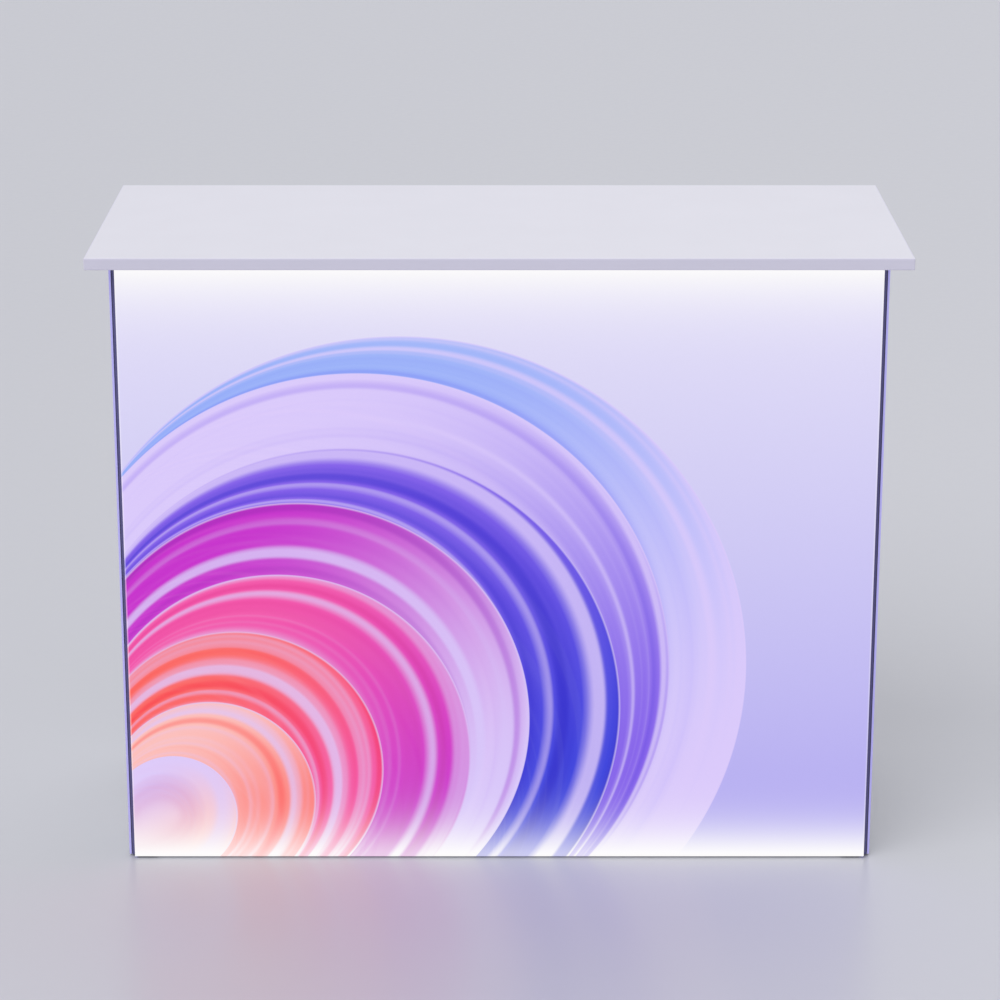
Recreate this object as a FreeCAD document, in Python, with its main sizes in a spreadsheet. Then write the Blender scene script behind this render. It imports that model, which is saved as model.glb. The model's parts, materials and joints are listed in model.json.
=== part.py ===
import FreeCAD, Part
import os
import re

import Sketcher

# Illuminated pop-up display counter, in millimetres. +X is to the right as the front is seen, +Y to the back
# and +Z up, with the origin on the floor under the middle of the countertop.
# The front is a lightbox faced with stretched fabric and lit from its top and bottom rails. Behind it the two
# sides, a rear frame and a shelf fold flat: each side bends inwards at its middle hinge, and the shelf bends
# upwards at its middle hinge. The boards of the sides and the shelf share one thickness and one hinge offset,
# so that they all turn through the same angle while the rear frame comes straight forward.

Vector = FreeCAD.Vector

# The driving sizes. Every other size is worked out from these.
SIZES = {
    # Whole counter
    "counter_width": 1250,
    "counter_depth": 540,
    "counter_height": 990,
    "top_thickness": 18,
    "side_overhang": 32,
    "front_overhang": 30,
    "rear_overhang": 30,
    "foot_height": 3,
    "fit_gap": 0.3,
    # Countertop
    "edge_band": 2,
    "edge_radius": 1.5,
    "disc_radius": 12,
    "disc_thickness": 2,
    # Lightbox posts and rails
    "lightbox_depth": 80,
    "wall": 2,
    "post_width": 45,
    "post_step": 28,
    "lip_width": 3.2,
    "lip_setback": 12,
    "nose_inset": 10.2,
    "nose_width": 3,
    "nose_radius": 0.9,
    "rail_height": 30,
    "rail_box_depth": 32,
    "rail_plate": 2.5,
    "ledge_length": 10,
    # Fabric and the bead along its edge
    "fabric_thickness": 0.6,
    "wrap_recess": 0.8,
    "side_return": 22,
    "bead_width": 5,
    "bead_height": 12,
    "bead_slot_width": 5.4,
    "bead_slot_depth": 14,
    # Panels inside the lightbox
    "reflector_setback": 52,
    "reflector_thickness": 2,
    "cover_thickness": 2,
    "shelf_bar_height": 40,
    # Lights
    "channel_width": 20,
    "channel_height": 6,
    "channel_wall": 1.5,
    "channel_setback": 16,
    "channel_end_gap": 8,
    "lens_radius": 6,
    "lens_count": 16,
    "driver_length": 180,
    "driver_height": 50,
    "driver_depth": 17,
    "driver_rise": 36,
    "driver_ear": 12,
    "fin_count": 15,
    "fin_gap": 5,
    "fin_depth": 4,
    # Mains inlet and switch
    "inlet_x": 230,
    "switch_x": 190,
    "socket_rise": 50,
    "socket_flange": 1.6,
    "socket_margin": 3,
    "inlet_width": 27,
    "inlet_height": 20,
    "inlet_depth": 18,
    "inlet_wall": 2.5,
    "inlet_cavity": 13,
    "blade_width": 1.6,
    "blade_height": 5,
    "blade_length": 10,
    "blade_pitch": 6.5,
    "switch_width": 13,
    "switch_height": 21,
    "switch_depth": 14,
    "switch_wall": 1.5,
    "switch_cavity": 10,
    "rocker_tilt": 8,
    "rocker_face": 1.2,
    "rocker_depth": 6,
    "rocker_side_gap": 0.5,
    "rocker_end_gap": 1.1,
    "rocker_pivot_depth": 3,
    "rocker_pin_radius": 1.2,
    # Corner brackets and screws
    "bracket_leg": 45,
    "bracket_width": 18,
    "bracket_thickness": 3,
    "bracket_near": 16,
    "bracket_far": 34,
    "screw_radius": 2.5,
    "screw_play": 0.1,
    "screw_length": 7,
    "screw_head_radius": 4.5,
    "screw_head_height": 2.5,
    "cover_screw_rows": 5,
    "cover_screw_radius": 1.6,
    "cover_screw_length": 5,
    "cover_screw_head_radius": 3.2,
    "cover_screw_head_height": 1.6,
    # Continuous hinges
    "knuckle_radius": 4,
    "knuckle_play": 0.3,
    "pin_radius": 2,
    "pin_play": 0.05,
    "hinge_plate": 1.8,
    "plate_gap": 0.2,
    "plate_clearance": 0.5,
    "side_knuckles": 11,
    "shelf_knuckles": 9,
    # Side boards and shelf
    "board_thickness": 16,
    "board_edge": 0.8,
    "panel_rise": 5,
    "panel_drop": 1.5,
    "shelf_height": 520,
    "shelf_side_gap": 12,
    "grip_length": 90,
    "grip_width": 28,
    "grip_setback": 40,
    # Rear frame
    "rear_depth": 30,
    "rear_post_width": 45,
    "rear_rail_height": 40,
    "rear_top_gap": 0.3,
    "tube_radius": 2,
    # Post ends
    "cap_depth": 15,
    "cap_gap": 0.2,
    "foot_inset": 1,
    "foot_radius": 4,
    "magnet_radius": 9,
    "magnet_thickness": 5,
}

# Places and sizes that follow from the driving sizes.
DERIVED = {
    "half_body": "counter_width / 2 - side_overhang",
    "front_y": "front_overhang - counter_depth / 2",
    "rear_y": "counter_depth / 2 - rear_overhang",
    "back_y": "front_y + lightbox_depth",
    "rear_front_y": "rear_y - rear_depth",
    "mid_y": "(back_y + rear_front_y) / 2",
    "frame_top": "counter_height - top_thickness",
    "frame_height": "frame_top - foot_height",
    "rear_top": "frame_top - rear_top_gap",
    "rear_height": "rear_top - foot_height",
    "rail_half": "half_body - post_width",
    "rear_half": "half_body - rear_post_width",
    "graphic_half": "half_body - nose_inset + fabric_thickness",
    "wrap_edge": "wrap_recess - fabric_thickness",
    "rail_box_front": "lightbox_depth - rail_box_depth",
    "bead_slot_front": "rail_box_front + wall",
    "ledge_front": "lightbox_depth - cover_thickness - wall",
    "cavity_middle": "(reflector_setback + wall + ledge_front) / 2",
    "panel_clear": "rail_half - fit_gap",
    "panel_foot": "rail_height + fit_gap",
    "channel_half": "rail_half - channel_end_gap",
    "lens_pitch": "2 * channel_half / lens_count",
    "hinge_offset": "knuckle_radius + fit_gap",
    "hinge_gap": "2 * hinge_plate + plate_gap",
    "plate_start": "knuckle_radius + plate_clearance",
    "plate_reach": "hinge_offset + board_thickness",
    "inner_x": "half_body - board_thickness - hinge_offset",
    "outer_x": "half_body + hinge_offset",
    "front_axis_y": "back_y + hinge_offset",
    "rear_axis_y": "rear_front_y - hinge_offset",
    "half_span": "mid_y - front_axis_y",
    "board_length": "mid_y - hinge_gap / 2 - back_y - hinge_gap",
    "panel_bottom": "foot_height + panel_rise",
    "panel_top": "frame_top - panel_drop",
    "panel_height": "panel_top - panel_bottom",
    "shelf_half": "inner_x - half_span - knuckle_radius - shelf_side_gap",
    "shelf_axis_z": "shelf_height + hinge_offset",
    "shelf_under_axis_z": "shelf_height - board_thickness - hinge_offset",
    "shelf_bar_bottom": "shelf_height - board_thickness / 2 - shelf_bar_height / 2",
    "front_chamber_depth": "lightbox_depth - post_step",
    "front_post_y": "front_y + (post_step + lightbox_depth) / 2",
    "front_post_x": "half_body - post_width / 2",
    "rear_post_y": "rear_y - rear_depth / 2",
    "rear_post_x": "half_body - rear_post_width / 2",
    "socket_z": "foot_height + rail_height + socket_rise",
}

X_AXIS = Vector(1, 0, 0)
Y_AXIS = Vector(0, 1, 0)
Z_AXIS = Vector(0, 0, 1)
UPRIGHT = FreeCAD.Rotation()
HALF_TURN_X = FreeCAD.Rotation(X_AXIS, 180)
HALF_TURN_Y = FreeCAD.Rotation(Y_AXIS, 180)
HALF_TURN_Z = FreeCAD.Rotation(Z_AXIS, 180)
SIDES = (("left", -1), ("right", 1))
ENDS = (("bottom", 1), ("top", -1))
TOLERANCE = 1e-6

doc = FreeCAD.newDocument("display_counter")
sheet = doc.addObject("Spreadsheet::Sheet", "dims")
for line, (alias, amount) in enumerate(SIZES.items(), start=1):
    sheet.set(f"A{line}", alias.replace("_", " "))
    sheet.set(f"B{line}", str(amount))
    sheet.setAlias(f"B{line}", alias)
doc.recompute()

nodes = []


def formula(text):
    """Spell a formula of size names out as references to the sheet's cells."""

    def spell(match):
        name = match.group()
        if name in DERIVED:
            return f"({formula(DERIVED[name])})"
        return f"dims.{name}" if name in SIZES else name

    return re.sub(r"[a-z]\w*", spell, str(text))


def value(text):
    """The number that a formula gives now."""
    return float(sheet.evalExpression(formula(text)))


def bind(thing, setting, text):
    thing.setExpression(setting, formula(text))


def place(piece, at, turn=UPRIGHT):
    piece.Placement = FreeCAD.Placement(Vector(), turn)
    for axis, text in zip("xyz", at):
        bind(piece, f"Placement.Base.{axis}", text)


def turned(across, facing):
    """The turn that carries +X to the first direction and +Y to the second."""
    return FreeCAD.Rotation(across, facing, across.cross(facing), "XYZ")


def new_body(label, at=(0, 0, 0), turn=UPRIGHT, template=False):
    body = doc.addObject("PartDesign::Body", label)
    body.Label = label
    place(body, at, turn)
    if not template:
        nodes.append(body)
    return body


def origin_feature(body, role):
    return next(feature for feature in body.Origin.OriginFeatures if feature.Role == role)


def new_sketch(body, plane, lift=0):
    """A sketch on one of the body's origin planes, lifted along that plane's normal."""
    sketch = body.newObject("Sketcher::SketchObject", "Sketch")
    sketch.AttachmentSupport = [(origin_feature(body, plane), "")]
    sketch.MapMode = "FlatFace"
    bind(sketch, "AttachmentOffset.Base.z", lift)
    return sketch


def fix(sketch, kind, edge, point, text):
    constraint = Sketcher.Constraint(kind, -1, 1, edge, point, value(text))
    index = sketch.addConstraint(constraint)
    bind(sketch, f"Constraints[{index}]", text)


def outline(sketch, corners):
    """A closed polygon whose corners are tied to the sheet."""
    first = sketch.GeometryCount
    spots = [Vector(value(across), value(along), 0) for across, along in corners]
    for start, end in zip(spots, spots[1:] + spots[:1]):
        sketch.addGeometry(Part.LineSegment(start, end), False)
    for index, (across, along) in enumerate(corners):
        edge = first + index
        following = first + (index + 1) % len(corners)
        sketch.addConstraint(Sketcher.Constraint("Coincident", edge, 2, following, 1))
        fix(sketch, "DistanceX", edge, 1, across)
        fix(sketch, "DistanceY", edge, 1, along)


def rectangle(sketch, low, high):
    outline(sketch, [low, (high[0], low[1]), high, (low[0], high[1])])


def circle(sketch, centre, radius):
    middle = Vector(value(centre[0]), value(centre[1]), 0)
    edge = sketch.addGeometry(Part.Circle(middle, Z_AXIS, value(radius)), False)
    fix(sketch, "DistanceX", edge, 3, centre[0])
    fix(sketch, "DistanceY", edge, 3, centre[1])
    index = sketch.addConstraint(Sketcher.Constraint("Radius", edge, value(radius)))
    bind(sketch, f"Constraints[{index}]", radius)


def pad(body, sketch, length, backwards=False, centred=False):
    feature = body.newObject("PartDesign::Pad", "Pad")
    feature.Profile = sketch
    feature.Reversed = backwards
    feature.SideType = "Symmetric" if centred else "One side"
    bind(feature, "Length", length)
    doc.recompute()
    return feature


def pocket(body, sketch, length, backwards=False, centred=False):
    """A cut that has to take something away."""
    before = body.Shape.Volume
    feature = body.newObject("PartDesign::Pocket", "Pocket")
    feature.Profile = sketch
    feature.Reversed = backwards
    feature.SideType = "Symmetric" if centred else "One side"
    bind(feature, "Length", length)
    doc.recompute()
    if body.Shape.Volume > before - TOLERANCE:
        raise RuntimeError(f"a pocket in {body.Label} cuts nothing")
    return feature


def repeat(body, features, axis, length, count):
    """Copies of some features in a row along one of the body's axes."""
    pattern = body.newObject("PartDesign::LinearPattern", "Row")
    pattern.Originals = features
    pattern.Direction = (origin_feature(body, axis), [""])
    bind(pattern, "Length", length)
    bind(pattern, "Occurrences", count)
    body.Tip = pattern
    doc.recompute()


def dress(body, kind, setting, amount, wanted):
    """A fillet or chamfer on the edges that pass a test."""
    base = body.Tip
    names = [f"Edge{n}" for n, edge in enumerate(base.Shape.Edges, start=1) if wanted(edge)]
    feature = body.newObject(f"PartDesign::{kind}", kind)
    feature.Base = (base, names)
    bind(feature, setting, amount)
    doc.recompute()


def runs_along(edge, axis):
    """Whether an edge is straight and parallel to an axis."""
    ends = [vertex.Point for vertex in edge.Vertexes]
    if len(ends) < 2:
        return False
    step = ends[1] - ends[0]
    return step.Length - abs(step.dot(axis)) < TOLERANCE


def revolve(body, sketch):
    feature = body.newObject("PartDesign::Revolution", "Revolution")
    feature.Profile = sketch
    feature.ReferenceAxis = (sketch, ["V_Axis"])
    feature.Angle = 360
    doc.recompute()


def block(name, size, at):
    box = doc.addObject("Part::Box", name)
    for setting, text in zip(("Length", "Width", "Height"), size):
        bind(box, setting, text)
    place(box, at)
    return box


def group(label, members):
    """One node made of separate solids."""
    compound = doc.addObject("Part::Compound", label)
    compound.Label = label
    compound.Links = members
    nodes.append(compound)


def copy_of(source, at, turn=UPRIGHT):
    link = doc.addObject("App::Link", "Copy")
    link.LinkedObject = source
    link.LinkTransform = False
    place(link, at, turn)
    return link


# Countertop


def countertop_board():
    """White board with a blind seat under each corner for a steel disc."""
    body = new_body("countertop_board", (0, 0, "frame_top"))
    half_width = "(counter_width / 2 - edge_band)"
    half_depth = "(counter_depth / 2 - edge_band)"
    slab = new_sketch(body, "XY_Plane")
    rectangle(slab, (f"-{half_width}", f"-{half_depth}"), (half_width, half_depth))
    pad(body, slab, "top_thickness")
    seats = new_sketch(body, "XY_Plane")
    for _, side in SIDES:
        circle(seats, (f"{side} * front_post_x", "front_post_y"), "disc_radius + cap_gap")
        circle(seats, (f"{side} * rear_post_x", "rear_post_y"), "disc_radius + cap_gap")
    pocket(body, seats, "disc_thickness", backwards=True)


def countertop_edge_band():
    """Band glued round the board, with eased long edges."""
    body = new_body("countertop_edge_band", (0, 0, "frame_top"))
    sketch = new_sketch(body, "XY_Plane")
    outer = ("counter_width / 2", "counter_depth / 2")
    inner = ("counter_width / 2 - edge_band", "counter_depth / 2 - edge_band")
    for across, along in (outer, inner):
        rectangle(sketch, (f"-({across})", f"-({along})"), (across, along))
    pad(body, sketch, "top_thickness")
    reach_x = value(outer[0]) - TOLERANCE
    reach_y = value(outer[1]) - TOLERANCE

    def outside(edge):
        middle = edge.CenterOfMass
        return abs(middle.x) > reach_x or abs(middle.y) > reach_y

    dress(body, "Fillet", "Radius", "edge_radius", outside)


def countertop_discs():
    """Steel discs let into the board, over the magnets in the post ends."""
    discs = []
    for _, side in SIDES:
        for x, y in (("front_post_x", "front_post_y"), ("rear_post_x", "rear_post_y")):
            disc = doc.addObject("Part::Cylinder", "Disc")
            bind(disc, "Radius", "disc_radius")
            bind(disc, "Height", "disc_thickness")
            place(disc, (f"{side} * {x}", y, "frame_top"))
            discs.append(disc)
    group("countertop_discs", discs)


# Lightbox frame


def frame_post(label, at, turn):
    """Hollow post: an outer lip, the groove for the bead, a slim nose for the fabric and two inner ledges."""
    body = new_body(label, at, turn)
    section = new_sketch(body, "XY_Plane")
    outline(
        section,
        [
            (0, "lip_setback"),
            ("lip_width", "lip_setback"),
            ("lip_width", "post_step"),
            ("nose_inset", "post_step"),
            ("nose_inset", "fabric_thickness"),
            ("nose_inset + nose_width", "fabric_thickness"),
            ("nose_inset + nose_width", "post_step"),
            ("post_width", "post_step"),
            ("post_width", "lightbox_depth"),
            (0, "lightbox_depth"),
        ],
    )
    rectangle(section, ("wall", "post_step + wall"), ("post_width - wall", "lightbox_depth - wall"))
    pad(body, section, "frame_height")
    nose_front = value("fabric_thickness") + TOLERANCE

    def on_nose(edge):
        return runs_along(edge, Z_AXIS) and edge.CenterOfMass.y < nose_front

    dress(body, "Fillet", "Radius", "nose_radius", on_nose)
    ledges = new_sketch(body, "XY_Plane", "rail_height + ledge_length")
    for front in ("reflector_setback", "ledge_front"):
        rectangle(ledges, ("post_width", front), ("post_width + ledge_length", f"{front} + wall"))
    pad(body, ledges, "frame_height - 2 * (rail_height + ledge_length)")
    screw_holes = new_sketch(body, "YZ_Plane", "post_width")
    for distance in ("bracket_near", "bracket_far"):
        for height in (f"rail_height + {distance}", f"frame_height - rail_height - {distance}"):
            circle(screw_holes, ("cavity_middle", height), "screw_radius + screw_play")
    pocket(body, screw_holes, "2 * wall")
    cover_holes = new_sketch(body, "XZ_Plane", "-(ledge_front + wall)")
    for height in cover_screw_heights():
        circle(
            cover_holes,
            ("post_width + ledge_length / 2", f"{height} - foot_height"),
            "cover_screw_radius + screw_play",
        )
    pocket(body, cover_holes, "2 * wall", backwards=True)


def cover_screw_heights():
    """Heights of the rear cover's screws above the floor, evenly spaced and alike from both ends."""
    rows = SIZES["cover_screw_rows"]
    start = "(foot_height + rail_height + 2 * ledge_length)"
    reach = "(frame_height - 2 * rail_height - 4 * ledge_length)"
    return [f"({start} + {reach} * {row} / (cover_screw_rows - 1))" for row in range(rows)]


def frame_rail(label, at, turn):
    """Rail with a slim plate that the fabric wraps, a slot for the bead and a hollow box at the back."""
    body = new_body(label, at, turn)
    plate_top = "wrap_recess + rail_plate"
    ledge_top = "rail_height + ledge_length"
    slot_back = "bead_slot_front + bead_slot_width"
    section = new_sketch(body, "YZ_Plane")
    outline(
        section,
        [
            ("fabric_thickness", "wrap_recess"),
            ("bead_slot_front", "wrap_recess"),
            ("bead_slot_front", "bead_slot_depth"),
            (slot_back, "bead_slot_depth"),
            (slot_back, 0),
            ("lightbox_depth", 0),
            ("lightbox_depth", "rail_height"),
            ("ledge_front + wall", "rail_height"),
            ("ledge_front + wall", ledge_top),
            ("ledge_front", ledge_top),
            ("ledge_front", "rail_height"),
            ("reflector_setback + wall", "rail_height"),
            ("reflector_setback + wall", ledge_top),
            ("reflector_setback", ledge_top),
            ("reflector_setback", "rail_height"),
            ("rail_box_front", "rail_height"),
            ("rail_box_front", plate_top),
            ("fabric_thickness", plate_top),
        ],
    )
    outline(
        section,
        [
            ("bead_slot_front", "bead_slot_depth + wall"),
            (f"{slot_back} + wall", "bead_slot_depth + wall"),
            (f"{slot_back} + wall", "wall"),
            ("lightbox_depth - wall", "wall"),
            ("lightbox_depth - wall", "rail_height - wall"),
            ("bead_slot_front", "rail_height - wall"),
        ],
    )
    pad(body, section, "2 * rail_half", centred=True)
    ends = new_sketch(body, "YZ_Plane")
    rectangle(ends, ("fabric_thickness", "wrap_recess"), ("post_step - fit_gap", plate_top))
    nose_inside = "(half_body - nose_inset - nose_width - fit_gap)"
    pad(body, ends, f"2 * {nose_inside}", centred=True)
    nose_front = value("fabric_thickness") + TOLERANCE

    def on_nose(edge):
        return runs_along(edge, X_AXIS) and edge.CenterOfMass.y < nose_front

    dress(body, "Fillet", "Radius", "nose_radius", on_nose)
    screw_holes = new_sketch(body, "XY_Plane", "rail_height")
    for distance in ("bracket_near", "bracket_far"):
        for _, side in SIDES:
            centre = (f"{side} * (rail_half - {distance})", "cavity_middle")
            circle(screw_holes, centre, "screw_radius + screw_play")
    pocket(body, screw_holes, "2 * wall")


def bracket_template():
    """Right-angled bracket with two screw holes in each leg."""
    body = new_body("bracket_template", template=True)
    angle = new_sketch(body, "XZ_Plane")
    outline(
        angle,
        [
            (0, 0),
            ("bracket_leg", 0),
            ("bracket_leg", "bracket_thickness"),
            ("bracket_thickness", "bracket_thickness"),
            ("bracket_thickness", "bracket_leg"),
            (0, "bracket_leg"),
        ],
    )
    pad(body, angle, "bracket_width", centred=True)
    inner_corner = value("bracket_thickness")

    def inside(edge):
        middle = edge.CenterOfMass
        spot = Vector(inner_corner, 0, inner_corner)
        return runs_along(edge, Y_AXIS) and (middle - spot).Length < TOLERANCE

    dress(body, "Fillet", "Radius", "bracket_thickness", inside)
    flat_holes = new_sketch(body, "XY_Plane", "bracket_thickness")
    upright_holes = new_sketch(body, "YZ_Plane", "bracket_thickness")
    for distance in ("bracket_near", "bracket_far"):
        circle(flat_holes, (distance, 0), "screw_radius + screw_play")
        circle(upright_holes, (0, distance), "screw_radius + screw_play")
    pocket(body, flat_holes, "bracket_thickness")
    pocket(body, upright_holes, "bracket_thickness")
    return body


def screw_template(name, radius, length, head_radius, head_height):
    """Pan-head screw, its head seated at local zero and its shank below."""
    body = new_body(name, template=True)
    half = new_sketch(body, "XZ_Plane")
    outline(
        half,
        [
            (0, f"-({length})"),
            (radius, f"-({length})"),
            (radius, 0),
            (head_radius, 0),
            (head_radius, f"{head_height} / 2"),
            (f"{head_radius} * 3 / 4", head_height),
            (0, head_height),
        ],
    )
    revolve(body, half)
    return body


def corner_set(prefix, half, rail, y, top):
    """Brackets and their screws in the four inner corners of a frame."""
    brackets = []
    screws = []
    turns = {
        (-1, 1): UPRIGHT,
        (1, 1): HALF_TURN_Z,
        (-1, -1): HALF_TURN_X,
        (1, -1): HALF_TURN_Y,
    }
    edges = {1: f"(foot_height + {rail})", -1: f"({top} - {rail})"}
    for _, side in SIDES:
        inwards = X_AXIS * -side
        for _, rise in ENDS:
            corner = (f"{side} * {half}", y, edges[rise])
            brackets.append(copy_of(bracket, corner, turns[(side, rise)]))
            for distance in ("bracket_near", "bracket_far"):
                on_rail = (
                    f"{side} * ({half} - {distance})",
                    y,
                    f"{edges[rise]} + {rise} * bracket_thickness",
                )
                on_post = (
                    f"{side} * ({half} - bracket_thickness)",
                    y,
                    f"{edges[rise]} + {rise} * {distance}",
                )
                screws.append(copy_of(screw, on_rail, FreeCAD.Rotation(Z_AXIS, Z_AXIS * rise)))
                screws.append(copy_of(screw, on_post, FreeCAD.Rotation(Z_AXIS, inwards)))
    group(f"{prefix}_corner_brackets", brackets)
    group(f"{prefix}_bracket_screws", screws)


def graphic_fabric():
    """Fabric face with the returns that turn round the noses of the posts and rails."""
    body = new_body("graphic_fabric", (0, "front_y", "foot_height"))
    low = "wrap_edge"
    high = "(frame_height - wrap_edge)"
    face = new_sketch(body, "XZ_Plane")
    rectangle(face, ("-graphic_half", low), ("graphic_half", high))
    pad(body, face, "fabric_thickness", backwards=True)
    sides = new_sketch(body, "XZ_Plane")
    rectangle(sides, ("-graphic_half", low), ("fabric_thickness - graphic_half", high))
    rectangle(sides, ("graphic_half - fabric_thickness", low), ("graphic_half", high))
    pad(body, sides, "side_return", backwards=True)
    ends = new_sketch(body, "XZ_Plane")
    rectangle(ends, ("-panel_clear", low), ("panel_clear", "wrap_recess"))
    rectangle(ends, ("-panel_clear", "frame_height - wrap_recess"), ("panel_clear", high))
    pad(body, ends, "bead_slot_front", backwards=True)


def silicone_bead():
    """Four strips of bead in the grooves of the posts and rails."""
    strips = []
    length = "frame_height - 2 * fit_gap"
    for _, side in SIDES:
        near = "graphic_half" if side > 0 else "-graphic_half - bead_width"
        at = (near, "front_y + side_return - bead_height", "foot_height + fit_gap")
        strips.append(block("Strip", ("bead_width", "bead_height", length), at))
    for low in ("foot_height + fit_gap", "frame_top - fit_gap - bead_height"):
        at = ("-panel_clear", "front_y + bead_slot_front", low)
        strips.append(block("Strip", ("2 * panel_clear", "bead_width", "bead_height"), at))
    group("silicone_bead", strips)


# Panels and lights inside the lightbox


def reflector_panel():
    """White sheet behind the light space, against the front ledges."""
    body = new_body("reflector_panel", (0, "front_y + reflector_setback", "foot_height"))
    sketch = new_sketch(body, "XZ_Plane")
    rectangle(sketch, ("-panel_clear", "panel_foot"), ("panel_clear", "frame_height - panel_foot"))
    pad(body, sketch, "reflector_thickness")


def rear_cover():
    """Sheet that closes the back of the lightbox, with cut-outs for the inlet and the switch."""
    body = new_body("rear_cover", (0, "back_y", "foot_height"))
    sketch = new_sketch(body, "XZ_Plane")
    rectangle(sketch, ("-panel_clear", "panel_foot"), ("panel_clear", "frame_height - panel_foot"))
    for x, width, height in (
        ("inlet_x", "inlet_width", "inlet_height"),
        ("switch_x", "switch_width", "switch_height"),
    ):
        half_width = f"({width} / 2 + fit_gap)"
        half_height = f"({height} / 2 + fit_gap)"
        middle = "(socket_z - foot_height)"
        rectangle(
            sketch,
            (f"{x} - {half_width}", f"{middle} - {half_height}"),
            (f"{x} + {half_width}", f"{middle} + {half_height}"),
        )
    for height in cover_screw_heights():
        for _, side in SIDES:
            centre = (f"{side} * (rail_half - ledge_length / 2)", f"{height} - foot_height")
            circle(sketch, centre, "cover_screw_radius + screw_play")
    pad(body, sketch, "cover_thickness")


def rear_cover_screws():
    screws = []
    head_back = FreeCAD.Rotation(Z_AXIS, Y_AXIS)
    for height in cover_screw_heights():
        for _, side in SIDES:
            at = (f"{side} * (rail_half - ledge_length / 2)", "back_y", height)
            screws.append(copy_of(cover_screw, at, head_back))
    group("rear_cover_screws", screws)


def shelf_bar():
    """Bar between the posts, behind the reflector, that carries the shelf hinge through the rear cover."""
    body = new_body("shelf_bar", (0, "front_y", "shelf_bar_bottom"))
    front = "reflector_setback + wall"
    notch_x = "rail_half - ledge_length - fit_gap"
    back = "ledge_front + wall"
    section = new_sketch(body, "XY_Plane")
    outline(
        section,
        [
            ("-rail_half", front),
            ("rail_half", front),
            ("rail_half", "ledge_front"),
            (notch_x, "ledge_front"),
            (notch_x, back),
            (f"-({notch_x})", back),
            (f"-({notch_x})", "ledge_front"),
            ("-rail_half", "ledge_front"),
        ],
    )
    pad(body, section, "shelf_bar_height")
    hollow = new_sketch(body, "YZ_Plane")
    rectangle(
        hollow,
        (f"{front} + wall", "wall"),
        ("ledge_front - wall", "shelf_bar_height - wall"),
    )
    pocket(body, hollow, "2 * rail_half", centred=True)


def led_channel(label, at, turn):
    """Open aluminium channel for a row of lights."""
    body = new_body(label, at, turn)
    section = new_sketch(body, "YZ_Plane")
    outline(
        section,
        [
            (0, 0),
            ("channel_width", 0),
            ("channel_width", "channel_height"),
            ("channel_width - channel_wall", "channel_height"),
            ("channel_width - channel_wall", "channel_wall"),
            ("channel_wall", "channel_wall"),
            ("channel_wall", "channel_height"),
            (0, "channel_height"),
        ],
    )
    pad(body, section, "2 * channel_half", centred=True)


def lens_template():
    """Clear dome over one light."""
    dome = doc.addObject("Part::Sphere", "lens_template")
    bind(dome, "Radius", "lens_radius")
    dome.Angle1 = 0
    dome.Angle2 = 90
    return dome


def led_lenses(label, z, turn):
    lenses = []
    y = "front_y + channel_setback + channel_width / 2"
    for index in range(SIZES["lens_count"]):
        x = f"({index} - (lens_count - 1) / 2) * lens_pitch"
        lenses.append(copy_of(lens, (x, y, z), turn))
    group(label, lenses)


def led_driver():
    """Slim finned driver with a fixing ear at each end, on the inside of the rear cover."""
    low = "foot_height + rail_height + driver_rise"
    body = new_body("led_driver", (0, "back_y - cover_thickness", low))
    half = "driver_length / 2"
    ears = new_sketch(body, "XZ_Plane")
    rectangle(ears, (f"-{half} - driver_ear", 0), (f"{half} + driver_ear", "driver_height"))
    pad(body, ears, "wall")
    case = new_sketch(body, "XZ_Plane")
    rectangle(case, (f"-{half}", 0), (half, "driver_height"))
    pad(body, case, "driver_depth")
    pitch = "(driver_length / fin_count)"
    start = f"(-{half} + {pitch} / 2 - fin_gap / 2)"
    slot = new_sketch(body, "XZ_Plane", "driver_depth")
    rectangle(slot, (start, 0), (f"{start} + fin_gap", "driver_height"))
    cut = pocket(body, slot, "fin_depth")
    repeat(body, [cut], "X_Axis", f"{pitch} * (fin_count - 1)", "fin_count")


def inlet_socket():
    """Mains inlet: a flange outside the cover, a shroud through it and three blades."""
    body = new_body("inlet_socket", ("inlet_x", "back_y", "socket_z"))
    flange = new_sketch(body, "XZ_Plane")
    across = "(inlet_width / 2 + socket_margin)"
    along = "(inlet_height / 2 + socket_margin)"
    rectangle(flange, (f"-{across}", f"-{along}"), (across, along))
    pad(body, flange, "socket_flange", backwards=True)
    shroud = new_sketch(body, "XZ_Plane")
    rectangle(shroud, ("-inlet_width / 2", "-inlet_height / 2"), ("inlet_width / 2", "inlet_height / 2"))
    pad(body, shroud, "inlet_depth")
    mouth = new_sketch(body, "XZ_Plane", "-socket_flange")
    across = "(inlet_width / 2 - inlet_wall)"
    along = "(inlet_height / 2 - inlet_wall)"
    rectangle(mouth, (f"-{across}", f"-{along}"), (across, along))
    pocket(body, mouth, "inlet_cavity + socket_flange", backwards=True)
    blades = new_sketch(body, "XZ_Plane", "inlet_cavity")
    for step in (-1, 0, 1):
        left = f"{step} * blade_pitch - blade_width / 2"
        bottom = f"(1 - {abs(step)}) * blade_height / 2 - blade_height / 2"
        rectangle(blades, (left, bottom), (f"{left} + blade_width", f"{bottom} + blade_height"))
    pad(body, blades, "blade_length", backwards=True)


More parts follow.
